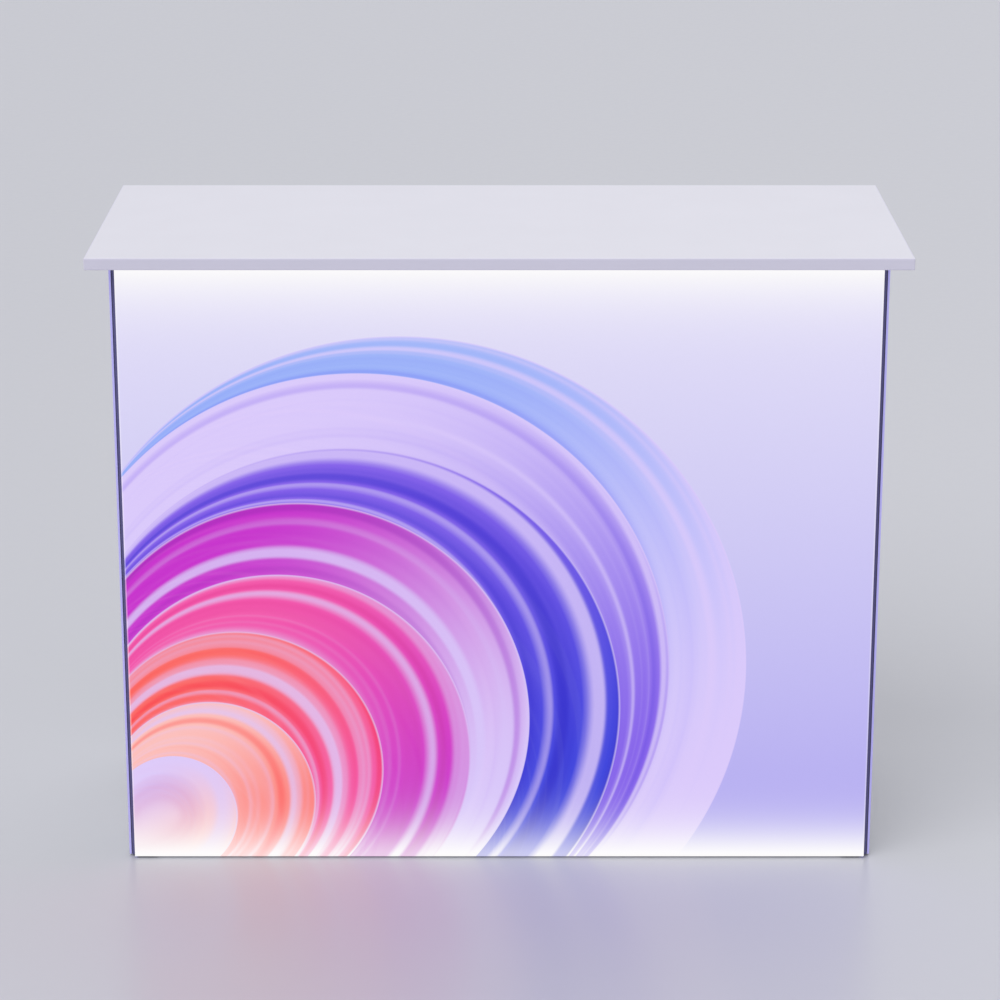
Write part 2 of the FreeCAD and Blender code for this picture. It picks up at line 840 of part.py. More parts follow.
def switch_housing():
    """Bezel and well of the rocker switch."""
    body = new_body("switch_housing", ("switch_x", "back_y", "socket_z"))
    bezel = new_sketch(body, "XZ_Plane")
    across = "(switch_width / 2 + socket_margin)"
    along = "(switch_height / 2 + socket_margin)"
    rectangle(bezel, (f"-{across}", f"-{along}"), (across, along))
    pad(body, bezel, "socket_flange", backwards=True)
    well = new_sketch(body, "XZ_Plane")
    rectangle(
        well,
        ("-switch_width / 2", "-switch_height / 2"),
        ("switch_width / 2", "switch_height / 2"),
    )
    pad(body, well, "switch_depth")
    mouth = new_sketch(body, "XZ_Plane", "-socket_flange")
    across = "(switch_width / 2 - switch_wall)"
    along = "(switch_height / 2 - switch_wall)"
    rectangle(mouth, (f"-{across}", f"-{along}"), (across, along))
    pocket(body, mouth, "switch_cavity + socket_flange", backwards=True)
    pivot = new_sketch(body, "YZ_Plane")
    circle(pivot, ("-rocker_pivot_depth", 0), "rocker_pin_radius + pin_play")
    pocket(body, pivot, "switch_width - switch_wall", centred=True)


def switch_rocker():
    """Rocker with a shallow valley face and two stub pins, stored pressed to its off side."""
    off_tilt = FreeCAD.Rotation(X_AXIS, -SIZES["rocker_tilt"])
    body = new_body("switch_rocker", ("switch_x", "back_y - rocker_pivot_depth", "socket_z"), off_tilt)
    half_length = "(switch_height / 2 - switch_wall - rocker_end_gap)"
    half_width = "(switch_width / 2 - switch_wall - rocker_side_gap)"
    crown = "(rocker_pivot_depth + socket_flange)"
    face = "(rocker_face + socket_flange + rocker_pivot_depth)"
    section = new_sketch(body, "YZ_Plane")
    outline(
        section,
        [
            (crown, 0),
            (face, half_length),
            (f"{face} - rocker_depth / 2", half_length),
            (f"{crown} - rocker_depth", f"{half_length} / 2"),
            (f"{crown} - rocker_depth", f"-{half_length} / 2"),
            (f"{face} - rocker_depth / 2", f"-{half_length}"),
            (face, f"-{half_length}"),
        ],
    )
    pad(body, section, f"2 * {half_width}", centred=True)
    stubs = new_sketch(body, "YZ_Plane")
    circle(stubs, (0, 0), "rocker_pin_radius")
    pad(body, stubs, "switch_width - 1.5 * switch_wall", centred=True)


# Continuous hinges


def hinge_template(name, length, knuckles, first, offset):
    """One leaf of a continuous hinge along local Z: a plate beside the pin line and every second knuckle."""
    pitch = f"(({length}) / {knuckles})"
    barrel_length = f"({pitch} - knuckle_play)"
    start = f"{first} * {pitch} + knuckle_play / 2"
    count = f"({knuckles} + 1) / 2 - {first}"
    body = new_body(name, template=True)
    plate = new_sketch(body, "XY_Plane")
    rectangle(plate, ("plate_start", offset), ("plate_reach", f"{offset} + hinge_plate"))
    pad(body, plate, length)
    tongue = new_sketch(body, "XY_Plane", start)
    rectangle(tongue, (0, offset), ("plate_start + hinge_plate", f"{offset} + hinge_plate"))
    tongue_pad = pad(body, tongue, barrel_length)
    barrel = new_sketch(body, "XY_Plane", start)
    circle(barrel, (0, 0), "knuckle_radius")
    barrel_pad = pad(body, barrel, barrel_length)
    repeat(body, [tongue_pad, barrel_pad], "Z_Axis", f"2 * {pitch} * ({count} - 1)", count)
    bore = new_sketch(body, "XY_Plane")
    circle(bore, (0, 0), "pin_radius + pin_play")
    pocket(body, bore, length, backwards=True)
    return body


def hinge_kit(prefix, length, knuckles):
    """The four leaf forms of one hinge length: on a frame, on its board and on the two middle boards."""
    on_frame = "(-hinge_offset)"
    on_board = "(-hinge_offset + hinge_plate + plate_gap)"
    middle = "(-hinge_plate - plate_gap / 2)"
    return {
        "frame": hinge_template(f"{prefix}_frame_leaf", length, knuckles, 0, on_frame),
        "board": hinge_template(f"{prefix}_board_leaf", length, knuckles, 1, on_board),
        "middle_front": hinge_template(f"{prefix}_middle_front_leaf", length, knuckles, 0, middle),
        "middle_rear": hinge_template(f"{prefix}_middle_rear_leaf", length, knuckles, 1, middle),
    }


def side_leaf(kind, side, middle, facing):
    """A leaf of a side hinge. Facing is the way its plate looks towards the pin line, 1 for the back."""
    outwards = X_AXIS * (-side if middle else side)
    turn = turned(outwards, Y_AXIS * facing)
    upright = turn.multVec(Z_AXIS).z > 0
    x = f"{side} * outer_x" if middle else f"{side} * inner_x"
    y = "mid_y" if middle else ("front_axis_y" if facing > 0 else "rear_axis_y")
    return copy_of(side_hinge[kind], (x, y, "panel_bottom" if upright else "panel_top"), turn)


def shelf_leaf(kind, middle, facing):
    """A leaf of a shelf hinge, with its pin line along X."""
    turn = turned(Z_AXIS if middle else -Z_AXIS, Y_AXIS * facing)
    to_right = turn.multVec(Z_AXIS).x > 0
    y = "mid_y" if middle else ("front_axis_y" if facing > 0 else "rear_axis_y")
    z = "shelf_under_axis_z" if middle else "shelf_axis_z"
    return copy_of(shelf_hinge[kind], ("-shelf_half" if to_right else "shelf_half", y, z), turn)


def side_pin(x, y):
    pin = doc.addObject("Part::Cylinder", "Pin")
    bind(pin, "Radius", "pin_radius")
    bind(pin, "Height", "panel_height")
    place(pin, (x, y, "panel_bottom"))
    return pin


def shelf_pin(y, z):
    pin = doc.addObject("Part::Cylinder", "Pin")
    bind(pin, "Radius", "pin_radius")
    bind(pin, "Height", "2 * shelf_half")
    place(pin, ("-shelf_half", y, z), FreeCAD.Rotation(Z_AXIS, X_AXIS))
    return pin


def frame_hinges(label, pin_label, facing, axis_y):
    """The leaves and pins on the lightbox or on the rear frame."""
    leaves = [side_leaf("frame", side, False, facing) for _, side in SIDES]
    group(label, leaves + [shelf_leaf("frame", False, facing)])
    pins = [side_pin(f"{side} * inner_x", axis_y) for _, side in SIDES]
    group(pin_label, pins + [shelf_pin(axis_y, "shelf_axis_z")])


# Sides and shelf


def side_panel(label, side, y):
    """White side board with eased long edges."""
    low_x = "half_body - board_thickness" if side > 0 else "-half_body"
    body = new_body(label, (low_x, y, "panel_bottom"))
    sketch = new_sketch(body, "XY_Plane")
    rectangle(sketch, (0, 0), ("board_thickness", "board_length"))
    pad(body, sketch, "panel_height")
    dress(body, "Chamfer", "Size", "board_edge", lambda edge: runs_along(edge, Z_AXIS))


def side_boards(name, side):
    """Front and rear boards of one side with their hinge leaves and the middle pin."""
    side_panel(f"{name}_front_panel", side, "back_y + hinge_gap")
    side_panel(f"{name}_rear_panel", side, "mid_y + hinge_gap / 2")
    front = [side_leaf("board", side, False, 1), side_leaf("middle_front", side, True, 1)]
    rear = [side_leaf("board", side, False, -1), side_leaf("middle_rear", side, True, -1)]
    group(f"{name}_front_hinge_leaves", front)
    group(f"{name}_rear_hinge_leaves", rear)
    group(f"{name}_middle_hinge_pin", [side_pin(f"{side} * outer_x", "mid_y")])


def shelf_board(label, y, with_grip):
    """Half of the shelf, the front one with a slot to lift it by."""
    body = new_body(label, (0, y, "shelf_height - board_thickness"))
    sketch = new_sketch(body, "XY_Plane")
    rectangle(sketch, ("-shelf_half", 0), ("shelf_half", "board_length"))
    pad(body, sketch, "board_thickness")
    dress(body, "Chamfer", "Size", "board_edge", lambda edge: runs_along(edge, X_AXIS))
    if not with_grip:
        return
    middle = "(board_length - grip_setback)"
    slot = new_sketch(body, "XY_Plane")
    straight = "(grip_length - grip_width) / 2"
    rectangle(
        slot,
        (f"-{straight}", f"{middle} - grip_width / 2"),
        (straight, f"{middle} + grip_width / 2"),
    )
    pocket(body, slot, "board_thickness", backwards=True)
    for _, side in SIDES:
        round_end = new_sketch(body, "XY_Plane")
        circle(round_end, (f"{side} * {straight}", middle), "grip_width / 2")
        pocket(body, round_end, "board_thickness", backwards=True)


def shelf():
    shelf_board("shelf_front_half", "back_y + hinge_gap", with_grip=True)
    shelf_board("shelf_rear_half", "mid_y + hinge_gap / 2", with_grip=False)
    front = [shelf_leaf("board", False, 1), shelf_leaf("middle_front", True, 1)]
    rear = [shelf_leaf("board", False, -1), shelf_leaf("middle_rear", True, -1)]
    group("shelf_front_hinge_leaves", front)
    group("shelf_rear_hinge_leaves", rear)
    group("shelf_middle_hinge_pin", [shelf_pin("mid_y", "shelf_under_axis_z")])


# Rear frame


def tube_section(sketch, across, along):
    rectangle(sketch, (0, 0), (across, along))
    rectangle(sketch, ("wall", "wall"), (f"{across} - wall", f"{along} - wall"))


def round_tube(body, axis, widths):
    """Round the four outer edges along a tube at local zero, given its width in each cross direction."""
    limits = [(direction, value(width)) for direction, width in widths]

    def corner(edge):
        spots = [(edge.CenterOfMass.dot(direction), width) for direction, width in limits]
        outside = all(min(spot, width - spot) < TOLERANCE for spot, width in spots)
        return outside and runs_along(edge, axis)

    dress(body, "Fillet", "Radius", "tube_radius", corner)


def rear_post(label, at, turn):
    """Rectangular tube, drilled for the corner brackets."""
    body = new_body(label, at, turn)
    section = new_sketch(body, "XY_Plane")
    tube_section(section, "rear_post_width", "rear_depth")
    pad(body, section, "rear_height")
    round_tube(body, Z_AXIS, ((X_AXIS, "rear_post_width"), (Y_AXIS, "rear_depth")))
    holes = new_sketch(body, "YZ_Plane", "rear_post_width")
    for distance in ("bracket_near", "bracket_far"):
        for height in (
            f"rear_rail_height + {distance}",
            f"rear_height - rear_rail_height - {distance}",
        ):
            circle(holes, ("rear_depth / 2", height), "screw_radius + screw_play")
    pocket(body, holes, "2 * wall")


def rear_rail(label, at, turn, drilled):
    """Rectangular tube between the rear posts, the outer two drilled for the corner brackets."""
    body = new_body(label, at, turn)
    section = new_sketch(body, "YZ_Plane")
    tube_section(section, "rear_depth", "rear_rail_height")
    pad(body, section, "2 * rear_half", centred=True)
    round_tube(body, X_AXIS, ((Y_AXIS, "rear_depth"), (Z_AXIS, "rear_rail_height")))
    if not drilled:
        return
    holes = new_sketch(body, "XY_Plane", "rear_rail_height")
    for distance in ("bracket_near", "bracket_far"):
        for _, side in SIDES:
            centre = (f"{side} * (rear_half - {distance})", "rear_depth / 2")
            circle(holes, centre, "screw_radius + screw_play")
    pocket(body, holes, "2 * wall")


# Post ends


def foot_template(name, across, along):
    """Foot cap: a pad under the tube and a plug inside it, seated at local zero on the floor."""
    body = new_body(name, template=True)
    sole = new_sketch(body, "XY_Plane")
    half_x = f"({across} / 2 - foot_inset)"
    half_y = f"({along} / 2 - foot_inset)"
    rectangle(sole, (f"-{half_x}", f"-{half_y}"), (half_x, half_y))
    pad(body, sole, "foot_height")
    dress(body, "Fillet", "Radius", "foot_radius", lambda edge: runs_along(edge, Z_AXIS))
    plug = new_sketch(body, "XY_Plane", "foot_height")
    half_x = f"({across} / 2 - wall - cap_gap)"
    half_y = f"({along} / 2 - wall - cap_gap)"
    rectangle(plug, (f"-{half_x}", f"-{half_y}"), (half_x, half_y))
    pad(body, plug, "cap_depth")
    return body


def cap_template(name, across, along):
    """Top cap: a plug in the tube's end with a seat for a magnet, its top at local zero."""
    body = new_body(name, template=True)
    half_x = f"({across} / 2 - wall - cap_gap)"
    half_y = f"({along} / 2 - wall - cap_gap)"
    plug = new_sketch(body, "XY_Plane")
    rectangle(plug, (f"-{half_x}", f"-{half_y}"), (half_x, half_y))
    pad(body, plug, "cap_depth", backwards=True)
    seat = new_sketch(body, "XY_Plane")
    circle(seat, (0, 0), "magnet_radius + screw_play")
    pocket(body, seat, "magnet_thickness")
    return body


def post_ends(prefix, x, y, top, across, along):
    """Foot caps, top caps and magnets of one pair of posts."""
    foot = foot_template(f"{prefix}_foot_template", across, along)
    cap = cap_template(f"{prefix}_cap_template", across, along)
    group(f"{prefix}_feet", [copy_of(foot, (f"{side} * {x}", y, 0)) for _, side in SIDES])
    group(f"{prefix}_post_caps", [copy_of(cap, (f"{side} * {x}", y, top)) for _, side in SIDES])
    magnets = []
    for _, side in SIDES:
        magnet = doc.addObject("Part::Cylinder", "Magnet")
        bind(magnet, "Radius", "magnet_radius")
        bind(magnet, "Height", "magnet_thickness")
        place(magnet, (f"{side} * {x}", y, f"{top} - magnet_thickness"))
        magnets.append(magnet)
    group(f"{prefix}_magnets", magnets)


def check_and_write():
    """Stop on anything that failed, then write one file for each node."""
    doc.recompute()
    for thing in doc.Objects:
        if "Invalid" in thing.State or "Error" in thing.State:
            raise RuntimeError(f"{thing.Label} failed: {thing.State}")
    for node in nodes:
        if node.Shape.isNull() or not node.Shape.isValid():
            raise RuntimeError(f"{node.Label} has no valid shape")
    os.makedirs("parts", exist_ok=True)
    for node in nodes:
        node.Shape.exportStep(f"parts/{node.Label}.step")


bracket = bracket_template()
screw = screw_template(
    "screw_template", "screw_radius", "screw_length", "screw_head_radius", "screw_head_height"
)
cover_screw = screw_template(
    "cover_screw_template",
    "cover_screw_radius",
    "cover_screw_length",
    "cover_screw_head_radius",
    "cover_screw_head_height",
)
lens = lens_template()
side_hinge = hinge_kit("side", "panel_height", "side_knuckles")
shelf_hinge = hinge_kit("shelf", "2 * shelf_half", "shelf_knuckles")

countertop_board()
countertop_edge_band()
countertop_discs()

frame_post("frame_post_left", ("-half_body", "front_y", "foot_height"), UPRIGHT)
frame_post("frame_post_right", ("half_body", "front_y", "frame_top"), HALF_TURN_Y)
frame_rail("frame_rail_bottom", (0, "front_y", "foot_height"), UPRIGHT)
frame_rail("frame_rail_top", (0, "front_y", "frame_top"), HALF_TURN_Y)
corner_set("frame", "rail_half", "rail_height", "front_y + cavity_middle", "frame_top")
graphic_fabric()
silicone_bead()
reflector_panel()
rear_cover()
rear_cover_screws()
shelf_bar()

rail_inside = "wrap_recess + rail_plate"
channel_y = "front_y + channel_setback"
led_channel("led_channel_bottom", (0, channel_y, f"foot_height + {rail_inside}"), UPRIGHT)
led_channel("led_channel_top", (0, channel_y, f"frame_top - ({rail_inside})"), HALF_TURN_Y)
led_lenses("led_lenses_bottom", f"foot_height + {rail_inside} + channel_wall", UPRIGHT)
led_lenses("led_lenses_top", f"frame_top - ({rail_inside}) - channel_wall", HALF_TURN_Y)
led_driver()
inlet_socket()
switch_housing()
switch_rocker()

frame_hinges("lightbox_hinge_leaves", "front_hinge_pins", 1, "front_axis_y")
frame_hinges("rear_frame_hinge_leaves", "rear_hinge_pins", -1, "rear_axis_y")
for side_name, side_sign in SIDES:
    side_boards(side_name, side_sign)
shelf()

rear_post("rear_post_left", ("-half_body", "rear_front_y", "foot_height"), UPRIGHT)
rear_post("rear_post_right", ("half_body", "rear_front_y", "rear_top"), HALF_TURN_Y)
rear_rail("rear_rail_bottom", (0, "rear_front_y", "foot_height"), UPRIGHT, drilled=True)
rear_rail("rear_rail_top", (0, "rear_front_y", "rear_top"), HALF_TURN_Y, drilled=True)
shelf_rail_z = "shelf_height - board_thickness / 2 - rear_rail_height / 2"
rear_rail("rear_rail_middle", (0, "rear_front_y", shelf_rail_z), UPRIGHT, drilled=False)
corner_set("rear", "rear_half", "rear_rail_height", "rear_post_y", "rear_top")

post_ends("front", "front_post_x", "front_post_y", "frame_top", "post_width", "front_chamber_depth")
post_ends("rear", "rear_post_x", "rear_post_y", "rear_top", "rear_post_width", "rear_depth")

check_and_write()
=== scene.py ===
"""Looks of the pop-up display counter: fabric front, materials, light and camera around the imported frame."""

import json
import math

import bmesh
import bpy
from mathutils import Matrix, Vector


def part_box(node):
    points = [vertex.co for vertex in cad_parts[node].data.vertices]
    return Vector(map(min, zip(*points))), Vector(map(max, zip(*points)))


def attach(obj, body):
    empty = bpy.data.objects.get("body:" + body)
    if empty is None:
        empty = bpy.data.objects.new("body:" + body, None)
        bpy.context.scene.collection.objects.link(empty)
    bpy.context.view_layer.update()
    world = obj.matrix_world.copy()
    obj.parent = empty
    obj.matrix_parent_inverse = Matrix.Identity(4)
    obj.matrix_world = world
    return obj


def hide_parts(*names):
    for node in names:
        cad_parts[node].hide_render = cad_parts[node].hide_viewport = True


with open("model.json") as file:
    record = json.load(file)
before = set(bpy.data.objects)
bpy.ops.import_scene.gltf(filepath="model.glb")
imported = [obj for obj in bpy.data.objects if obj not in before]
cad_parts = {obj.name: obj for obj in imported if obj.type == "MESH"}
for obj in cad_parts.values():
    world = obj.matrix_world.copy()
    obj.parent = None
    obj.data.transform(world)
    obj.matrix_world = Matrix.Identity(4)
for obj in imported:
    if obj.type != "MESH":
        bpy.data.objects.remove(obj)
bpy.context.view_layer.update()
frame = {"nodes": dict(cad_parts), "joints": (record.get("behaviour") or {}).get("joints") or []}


# Colours

SCREEN_STEPS = 255
STRAIGHT_END = 0.04045
STRAIGHT_SLOPE = 12.92
CURVE_OFFSET = 0.055
CURVE_POWER = 2.4
BLACK = (0.0, 0.0, 0.0, 1.0)


def shade(red, green, blue):
    """A colour given as it shows on screen, from 0 to 255, as the linear colour that shaders take."""
    linear = []
    for channel in (red, green, blue):
        part = channel / SCREEN_STEPS
        if part <= STRAIGHT_END:
            linear.append(part / STRAIGHT_SLOPE)
        else:
            linear.append(((part + CURVE_OFFSET) / (1 + CURVE_OFFSET)) ** CURVE_POWER)
    return (*linear, 1.0)


def times(colour, factor):
    """A colour with its channels multiplied, as far as full white."""
    return (*[min(1.0, channel * factor) for channel in colour[:3]], 1.0)


# Nodes of a material

MIX_INPUTS = (0, 6, 7)
MIX_RESULT = 2
CLOUD_DETAIL = 3.0
FINE_DETAIL = 2.0


class Paint:
    """A material, with short calls that add nodes to it."""

    def __init__(self, name, colour, roughness, metallic=0.0):
        self.material = bpy.data.materials.new(name)
        self.material.use_nodes = True
        self.tree = self.material.node_tree
        self.surface = self.tree.nodes["Principled BSDF"]
        self.set("Base Color", colour)
        self.set("Roughness", roughness)
        self.set("Metallic", metallic)

    def feed(self, socket, value):
        if isinstance(value, bpy.types.NodeSocket):
            self.tree.links.new(value, socket)
        else:
            socket.default_value = value

    def set(self, name, value):
        self.feed(self.surface.inputs[name], value)

    def node(self, kind, inputs, **settings):
        node = self.tree.nodes.new(f"ShaderNode{kind}")
        for name, value in settings.items():
            setattr(node, name, value)
        for key, value in inputs.items():
            self.feed(node.inputs[key], value)
        return node

    def math(self, operation, first, second=0.0):
        return self.node("Math", {0: first, 1: second}, operation=operation).outputs[0]

    def vector(self, operation, first, second, result):
        return self.node("VectorMath", {0: first, 1: second}, operation=operation).outputs[result]

    def mix(self, factor, first, second, blend_type="MIX"):
        node = self.node("Mix", {}, data_type="RGBA", blend_type=blend_type)
        for place, value in zip(MIX_INPUTS, (factor, first, second)):
            self.feed(node.inputs[place], value)
        return node.outputs[MIX_RESULT]

    def place(self, scale=(1.0, 1.0, 1.0)):
        """Points of the piece in metres, each axis multiplied by its scale."""
        points = self.node("TexCoord", {}).outputs["Object"]
        return self.node("Mapping", {"Vector": points, "Scale": scale}).outputs["Vector"]

    def axes(self):
        """The x, y and z of the piece's points in metres."""
        return self.node("SeparateXYZ", {0: self.place()}).outputs[:]

    def noise(self, points, scale, detail=CLOUD_DETAIL):
        inputs = {"Vector": points, "Scale": scale, "Detail": detail}
        return self.node("TexNoise", inputs).outputs["Fac"]

    def between(self, factor, low, high, start=0.0, end=1.0, smooth=False):
        """Carry start..end to low..high."""
        kind = "SMOOTHSTEP" if smooth else "LINEAR"
        inputs = {"Value": factor, "From Min": start, "From Max": end, "To Min": low, "To Max": high}
        return self.node("MapRange", inputs, interpolation_type=kind).outputs["Result"]

    def bump(self, height, strength, distance):
        inputs = {"Height": height, "Strength": strength, "Distance": distance}
        self.set("Normal", self.node("Bump", inputs).outputs["Normal"])


# Laminate of the countertop and the boards

TOP_WHITE = shade(228, 227, 236)
# The edge band's white with a painted violet tint, standing in for the lit panel's violet light on the band
BAND_WHITE_PAINTED_VIOLET = shade(228, 225, 242)
BOARD_WHITE = shade(224, 224, 228)
LAMINATE_ROUGHNESS = 0.36
LAMINATE_GLOSS = (0.3, 0.44)
CLOUD_SCALE = 9.0
CLOUD_SPAN = (0.35, 0.7)
CLOUD_SHADE = 0.985
PEBBLE_DEPTH = 0.0004


def laminate(name, colour, grain, peel):
    """Satin white laminate: a faint cloud in its colour, uneven gloss and a fine pebbled skin."""
    paint = Paint(name, colour, LAMINATE_ROUGHNESS)
    cloud = paint.between(paint.noise(paint.place(), CLOUD_SCALE), 0.0, 1.0, *CLOUD_SPAN)
    pebbles = paint.noise(paint.place(), grain, FINE_DETAIL)
    paint.set("Base Color", paint.mix(cloud, times(colour, CLOUD_SHADE), colour))
    paint.set("Roughness", paint.between(pebbles, *LAMINATE_GLOSS))
    paint.bump(pebbles, peel, PEBBLE_DEPTH)
    return paint.material


# Drawn aluminium, steel and nickel

ALUMINIUM = shade(221, 223, 229)
ALUMINIUM_ROUGHNESS = 0.36
FINE_LINES = 900.0
LONG_LINES = 6.0
ALONG_Z = (FINE_LINES, FINE_LINES, LONG_LINES)
ALONG_X = (LONG_LINES, FINE_LINES, FINE_LINES)
ZINC_SPANGLE = (260.0, 260.0, 260.0)
NICKEL_SPANGLE = (120.0, 120.0, 120.0)
LINE_SHADES = (0.9, 1.08)
LINE_UNEVENNESS = 0.14
LINE_RELIEF = 0.12
LINE_DEPTH = 0.0002
SMUDGE_SCALE = 14.0
SMUDGE_UNEVENNESS = 0.1

# Painted light: the lip's front beside the lit fabric gets a violet colour, less metal and a glow, standing in
# for the fabric's light falling on it
LIP_PAINTED_LIGHT = shade(204, 199, 255)
LIP_PAINTED_GLOW = shade(66, 62, 112)
LIP_METALLIC = 0.3
LIP_SETBACK = 0.012
LIP_FADE = 0.003
LIP_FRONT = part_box("graphic_fabric")[0][1] + LIP_SETBACK


def drawn_metal(name, colour, stretch, roughness, lip_front=None):
    """Satin metal with fine drawn lines, and painted violet light and a painted glow on a lip beside the lit
    fabric.
    """
    paint = Paint(name, colour, roughness, metallic=1.0)
    lines = paint.noise(paint.place(stretch), 1.0, FINE_DETAIL)
    smudges = paint.noise(paint.place(), SMUDGE_SCALE)
    dark, light = [times(colour, share) for share in LINE_SHADES]
    shown = paint.mix(lines, dark, light)
    # Painted light on the lip's front: violet colour and glow in place of the lit fabric's light
    if lip_front is not None:
        _, back, _ = paint.axes()
        unlit = paint.between(back, 0.0, 1.0, lip_front, lip_front + LIP_FADE)
        shown = paint.mix(unlit, LIP_PAINTED_LIGHT, shown)
        paint.set("Metallic", paint.between(unlit, LIP_METALLIC, 1.0))
        paint.set("Emission Color", paint.mix(unlit, LIP_PAINTED_GLOW, BLACK))
        paint.set("Emission Strength", 1.0)
    paint.set("Base Color", shown)
    from_lines = paint.math("MULTIPLY", lines, LINE_UNEVENNESS)
    from_smudges = paint.math("MULTIPLY", smudges, SMUDGE_UNEVENNESS)
    smoothest = roughness - (LINE_UNEVENNESS + SMUDGE_UNEVENNESS) / 2
    paint.set("Roughness", paint.math("ADD", paint.math("ADD", from_lines, from_smudges), smoothest))
    paint.bump(lines, LINE_RELIEF, LINE_DEPTH)
    return paint.material


# Moulded plastic, silicone and coated sheet

MOTTLE_SCALE = 22.0
GLOSS_BELOW = 0.08
GLOSS_ABOVE = 0.1
GRAIN_DEPTH = 0.0003


def moulded(name, colour, roughness, grain=900.0, relief=0.35, mottling=1.25):
    """Moulded plastic or powder coat with a fine spark-eroded grain."""
    paint = Paint(name, colour, roughness)
    fine = paint.noise(paint.place(), grain, FINE_DETAIL)
    mottle = paint.noise(paint.place(), MOTTLE_SCALE)
    paint.set("Base Color", paint.mix(mottle, colour, times(colour, mottling)))
    paint.set("Roughness", paint.between(fine, roughness - GLOSS_BELOW, roughness + GLOSS_ABOVE))
    paint.bump(fine, relief, GRAIN_DEPTH)
    return paint.material


# Clear lenses over the lamps

LENS_COLOUR = shade(244, 246, 252)
LENS_LIGHT = shade(250, 248, 255)
LENS_ROUGHNESS = 0.08
LENS_CLEARNESS = 0.7
LENS_STRENGTH = 2.0
FLOW_SCALE = 180.0
FLOW_RELIEF = 0.08
FLOW_DEPTH = 0.0003


def clear_lens(name):
    """Clear moulded dome with faint flow lines, glowing from the light below it."""
    paint = Paint(name, LENS_COLOUR, LENS_ROUGHNESS)
    paint.set("Transmission Weight", LENS_CLEARNESS)
    paint.set("Emission Color", LENS_LIGHT)
    paint.set("Emission Strength", LENS_STRENGTH)
    paint.bump(paint.noise(paint.place(), FLOW_SCALE), FLOW_RELIEF, FLOW_DEPTH)
    return paint.material


# Materials of the rigid pieces

STEEL = shade(196, 198, 203)
ZINC = shade(188, 191, 196)
NICKEL = shade(205, 203, 198)
# The silicone bead's colour is painted: dark for the shade in the groove, violet for the lit fabric's light in
# it
GROOVE_PAINTED_SHADE_LIGHT = shade(88, 85, 130)
SHEET_WHITE = shade(226, 226, 231)
MARK_WHITE = shade(232, 232, 234)
CASE_GREY = shade(62, 64, 69)
PLASTIC_BLACK = shade(38, 38, 41)
GLOSS_BLACK = shade(34, 34, 37)

MATERIALS = {
    "top_laminate": laminate("top_laminate", TOP_WHITE, grain=1400.0, peel=0.12),
    "edge_band": laminate("edge_band", BAND_WHITE_PAINTED_VIOLET, grain=900.0, peel=0.1),
    "board_laminate": laminate("board_laminate", BOARD_WHITE, grain=1100.0, peel=0.16),
    "upright_aluminium": drawn_metal("upright_aluminium", ALUMINIUM, ALONG_Z, ALUMINIUM_ROUGHNESS),
    "level_aluminium": drawn_metal("level_aluminium", ALUMINIUM, ALONG_X, ALUMINIUM_ROUGHNESS),
    "aluminium_painted_lip_light": drawn_metal("aluminium_painted_lip_light", ALUMINIUM, ALONG_Z, ALUMINIUM_ROUGHNESS, LIP_FRONT),
    "hinge_steel": drawn_metal("hinge_steel", STEEL, ALONG_Z, roughness=0.32),
    "zinc_steel": drawn_metal("zinc_steel", ZINC, ZINC_SPANGLE, roughness=0.4),
    "nickel": drawn_metal("nickel", NICKEL, NICKEL_SPANGLE, roughness=0.22),
    "silicone_painted_groove_light": moulded("silicone_painted_groove_light", GROOVE_PAINTED_SHADE_LIGHT, roughness=0.55, grain=600.0, relief=0.2),
    "white_sheet": moulded(
        "white_sheet", SHEET_WHITE, roughness=0.55, grain=420.0, relief=0.18, mottling=1.03
    ),
    "mark_white": moulded(
        "mark_white", MARK_WHITE, roughness=0.5, grain=700.0, relief=0.1, mottling=1.02
    ),
    "driver_case": moulded("driver_case", CASE_GREY, roughness=0.5),
    "black_plastic": moulded("black_plastic", PLASTIC_BLACK, roughness=0.48),
    "black_gloss": moulded("black_gloss", GLOSS_BLACK, roughness=0.24, grain=500.0, relief=0.08),
    "lens_clear": clear_lens("lens_clear"),
}

NODE_MATERIALS = {
    "top_laminate": ["countertop_board"],
    "edge_band": ["countertop_edge_band"],
    "board_laminate": [
        "left_front_panel",
        "left_rear_panel",
        "right_front_panel",
        "right_rear_panel",
        "shelf_front_half",
        "shelf_rear_half",
    ],
    "aluminium_painted_lip_light": ["frame_post_left", "frame_post_right"],
    "upright_aluminium": ["rear_post_left", "rear_post_right"],
    "level_aluminium": [
        "frame_rail_top",
        "frame_rail_bottom",
        "rear_rail_top",
        "rear_rail_bottom",
        "rear_rail_middle",
        "shelf_bar",
        "led_channel_top",
        "led_channel_bottom",
    ],
    "hinge_steel": [
        "lightbox_hinge_leaves",
        "front_hinge_pins",
        "left_front_hinge_leaves",
        "left_middle_hinge_pin",
        "left_rear_hinge_leaves",
        "right_front_hinge_leaves",
        "right_middle_hinge_pin",
        "right_rear_hinge_leaves",
        "rear_frame_hinge_leaves",
        "rear_hinge_pins",
        "shelf_front_hinge_leaves",
        "shelf_middle_hinge_pin",
        "shelf_rear_hinge_leaves",
    ],
    "zinc_steel": [
        "frame_corner_brackets",
        "frame_bracket_screws",
        "rear_corner_brackets",
        "rear_bracket_screws",
        "rear_cover_screws",
        "countertop_discs",
    ],
    "nickel": ["front_magnets", "rear_magnets"],
    "silicone_painted_groove_light": ["silicone_bead"],
    "white_sheet": ["reflector_panel", "rear_cover"],
    "driver_case": ["led_driver"],
    "black_plastic": [
        "inlet_socket",
        "switch_housing",
        "front_feet",
        "rear_feet",
        "front_post_caps",
        "rear_post_caps",
    ],
    "black_gloss": ["switch_rocker"],
    "lens_clear": ["led_lenses_top", "led_lenses_bottom"],
}


